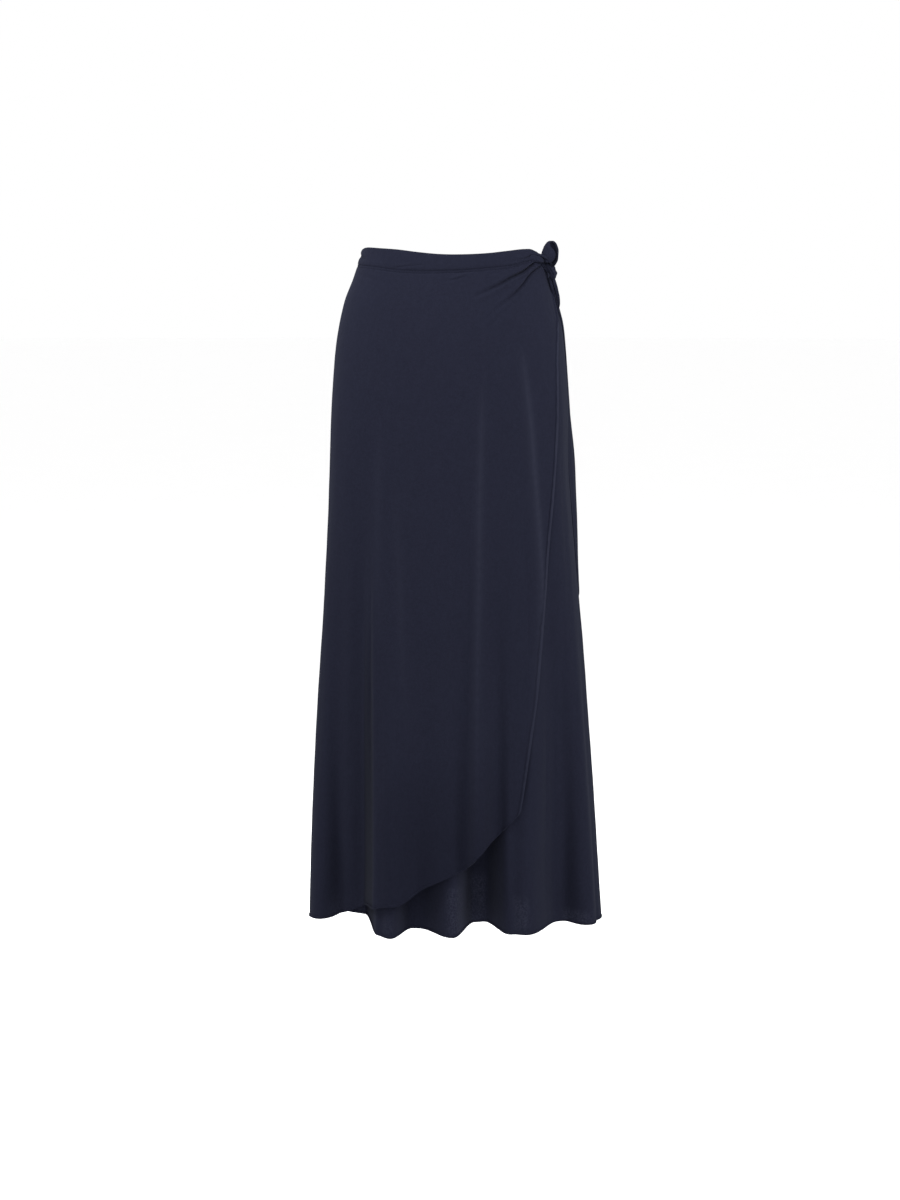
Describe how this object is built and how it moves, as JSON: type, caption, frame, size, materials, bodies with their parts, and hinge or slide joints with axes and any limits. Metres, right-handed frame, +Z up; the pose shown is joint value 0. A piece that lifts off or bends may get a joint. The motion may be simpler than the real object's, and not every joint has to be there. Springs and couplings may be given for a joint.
{
  "type": "wrap skirt",
  "caption": "Full-length wrap skirt, worn form, with a slanting curved front edge, narrow waistband and a side knot with hanging ties.",
  "frame": {"origin": "middle of the waist opening, at half the height of the waistband at the plain side", "axes": "+Z up through the waist, the front of the skirt faces -Y, and the knot, at the wearer's left hip, is towards +X"},
  "size_m": [0.4267, 0.3342, 0.9872],
  "materials": {
    "panel_crepe": "fine navy crepe with a soft dull sheen",
    "band_crepe": "navy crepe folded double",
    "tie_crepe": "navy crepe folded into a tie"
  },
  "bodies": {
    "root": {"front_overlap": "panel_crepe", "front_underlap": "panel_crepe", "back_panel": "panel_crepe", "waistband_overlap": "band_crepe", "waistband_underlap": "band_crepe", "waistband_back": "band_crepe", "tie_knot": "tie_crepe", "tie_loop": "tie_crepe", "tie_tail_short": "tie_crepe", "tie_tail_long": "tie_crepe"}
  },
  "joints": []
}
